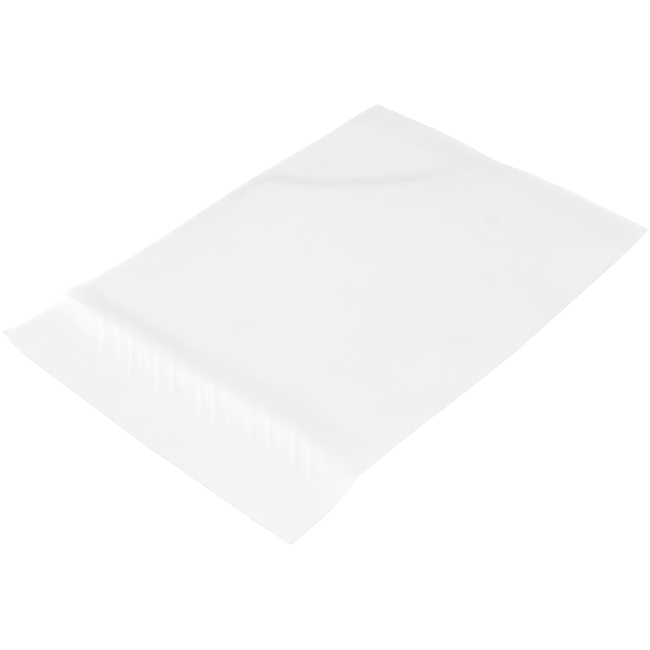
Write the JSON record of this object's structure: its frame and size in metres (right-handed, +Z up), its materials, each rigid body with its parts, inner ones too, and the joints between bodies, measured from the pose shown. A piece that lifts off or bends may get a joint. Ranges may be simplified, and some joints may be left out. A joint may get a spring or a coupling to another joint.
{
  "type": "resealable plastic bag",
  "caption": "Empty clear film bag with a press-to-close mouth, side welds and a folded bottom, lying flat with a little air in it.",
  "frame": {"origin": "on the resting surface, under the middle of the bag's outline", "axes": "+Z up from the resting surface, +Y from the mouth to the bottom fold, +X across the width"},
  "size_m": [0.15, 0.226, 0.004],
  "materials": {
    "film": "clear, slightly hazy polyethylene film with a soft gloss"
  },
  "bodies": {
    "root": {"bag": "film"}
  },
  "joints": []
}
